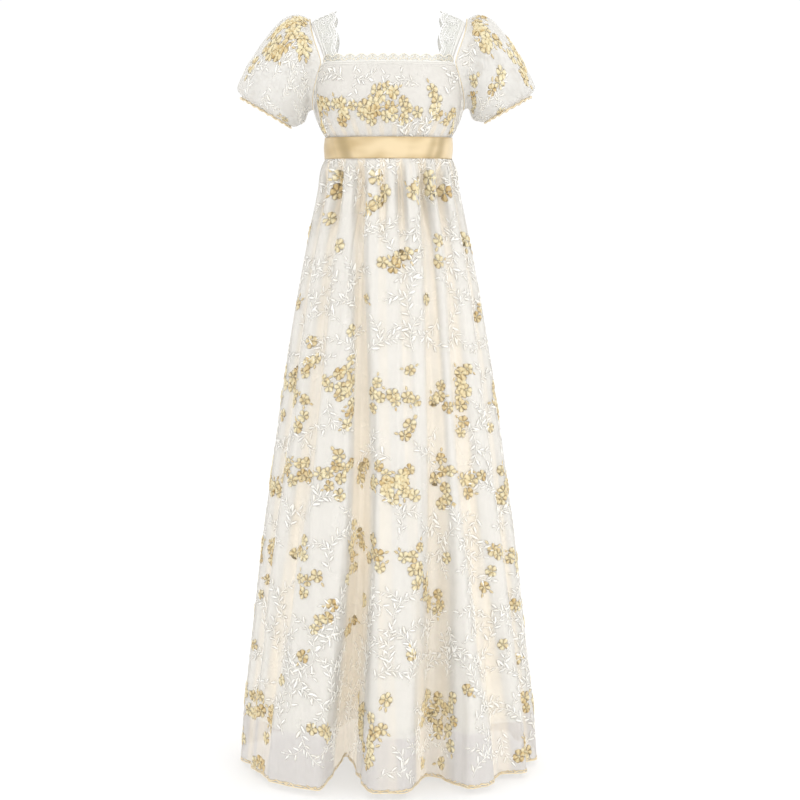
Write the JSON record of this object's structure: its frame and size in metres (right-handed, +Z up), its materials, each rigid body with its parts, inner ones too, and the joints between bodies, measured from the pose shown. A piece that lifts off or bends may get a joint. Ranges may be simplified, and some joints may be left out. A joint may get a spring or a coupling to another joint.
{
  "type": "regency gown",
  "caption": "High-waisted, floor-length gown with puff sleeves, of embroidered see-through net over a plain lining, with a satin ribbon under the bust and lace at the neck.",
  "frame": {"origin": "midway between the wearer's shoulders, level with the tops of the straps, where the shoulders hold the gown up", "axes": "+Z up, -Y to the gown's front, +X to the wearer's left"},
  "size_m": [0.5772, 0.5424, 1.4381],
  "materials": {
    "tulle": "see-through ivory net with raised embroidery in gold and cream thread",
    "lining": "smooth, soft white plain weave",
    "lace": "matt ivory lace with scalloped edges",
    "ribbon": "pale gold satin"
  },
  "bodies": {
    "root": {"skirt_front": "tulle", "skirt_back": "tulle", "skirt_lining_front": "lining", "skirt_lining_back": "lining", "bodice_front": "tulle", "bodice_back": "tulle", "bodice_lining_front": "lining", "bodice_lining_back": "lining", "sleeve_left": "tulle", "sleeve_right": "tulle", "strap_left": "lining", "strap_right": "lining", "strap_lace_left": "lace", "strap_lace_right": "lace", "neck_edging": "lace", "waist_ribbon": "ribbon"}
  },
  "joints": []
}
